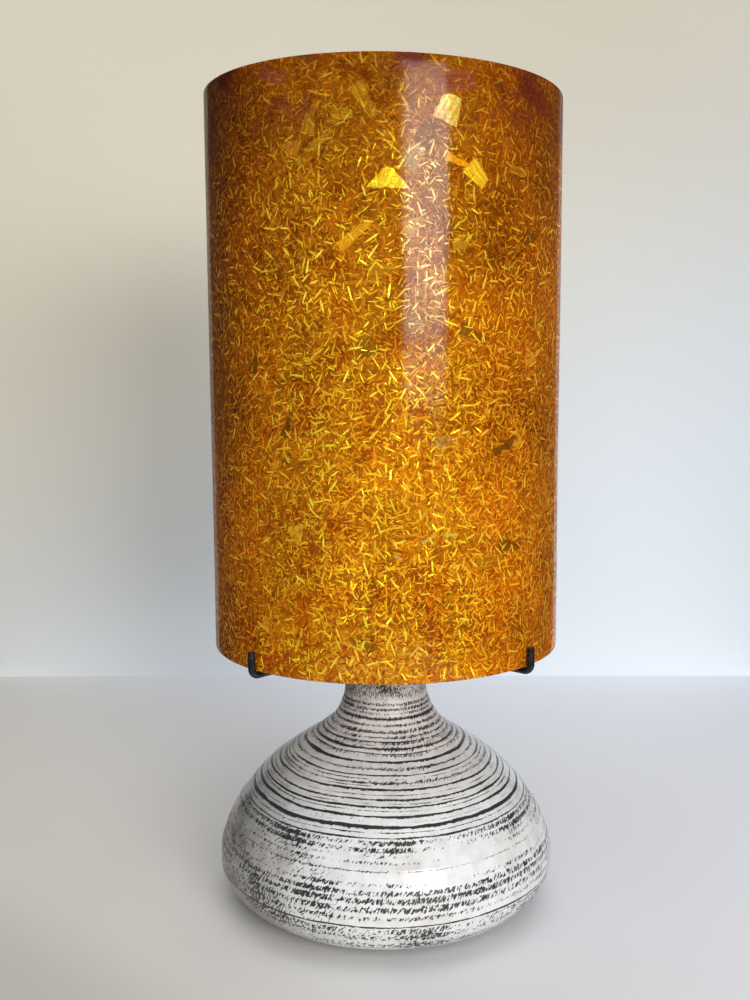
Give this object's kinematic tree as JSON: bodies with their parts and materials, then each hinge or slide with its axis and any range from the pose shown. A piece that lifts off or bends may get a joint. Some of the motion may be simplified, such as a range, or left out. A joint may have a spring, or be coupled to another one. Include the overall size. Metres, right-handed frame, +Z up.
{
  "type": "ceramic table lamp",
  "caption": "Table lamp: low round thrown ceramic base with a slim neck, steel arms that hook under a tall open resin drum shade, and a switched lampholder with its bulb.",
  "frame": {"origin": "centre of the resting face, on the table", "axes": "+Z up, front of the picture toward -Y, +X to the viewer's right"},
  "size_m": [0.2, 0.2, 0.4656],
  "materials": {
    "glazed_clay": "glossy white glaze over broken dark throwing lines",
    "amber_resin": "glossy translucent amber resin filled with straw-like chips",
    "black_steel": "satin blackened steel rod",
    "zinc_steel": "zinc plated steel",
    "dark_brass": "dull aged brass",
    "contact_brass": "bright brass",
    "bakelite": "moulded phenolic, slightly worn gloss",
    "porcelain": "unglazed white porcelain",
    "felt": "pressed wool felt",
    "rubber_bush": "matte rubber",
    "bulb_clear_glass": "clear blown glass",
    "bulb_metal": "bright nickel",
    "black_glass": "opaque black glass",
    "solder": "dull solder",
    "tungsten": "grey tungsten coil"
  },
  "bodies": {
    "base": {"ceramic_base": "glazed_clay", "foot_felt": "felt", "cable_grommet": "rubber_bush", "lower_washer": "zinc_steel", "lower_nut": "zinc_steel", "threaded_tube": "zinc_steel", "neck_gasket": "rubber_bush", "neck_cap": "dark_brass", "upper_nut": "zinc_steel", "arm_hub": "black_steel", "arm_front_left": "black_steel", "arm_front_right": "black_steel", "arm_back_left": "black_steel", "arm_back_right": "black_steel", "holder_cap": "bakelite", "holder_sleeve": "bakelite", "holder_lock_screw": "contact_brass", "holder_insert": "porcelain", "screw_shell": "contact_brass", "centre_contact": "contact_brass", "centre_rivet": "contact_brass", "contact_strip_front": "contact_brass", "contact_strip_back": "contact_brass", "terminal_screws": "contact_brass"},
    "shade": {"shade": "amber_resin"},
    "switch": {"switch_bar": "contact_brass", "bar_knob_left": "bakelite", "bar_knob_right": "bakelite", "switch_bridge": "contact_brass"},
    "bulb": {"bulb_glass": "bulb_clear_glass", "bulb_cap": "bulb_metal", "bulb_insulator": "black_glass", "bulb_tip": "solder", "bulb_stem": "bulb_clear_glass", "bulb_leads": "bulb_metal", "bulb_filament": "tungsten"}
  },
  "joints": [
    {"name": "switch_push", "type": "slide", "parent": "base", "child": "switch", "axis": [-1, 0, 0], "range_m": [0, 0.006]},
    {"name": "shade_lift", "type": "slide", "parent": "base", "child": "shade", "axis": [0, 0, 1], "range_m": [0, 0.17]},
    {"name": "bulb_out", "type": "slide", "parent": "base", "child": "bulb", "axis": [0, 0, 1], "range_m": [0, 0.03]}
  ]
}
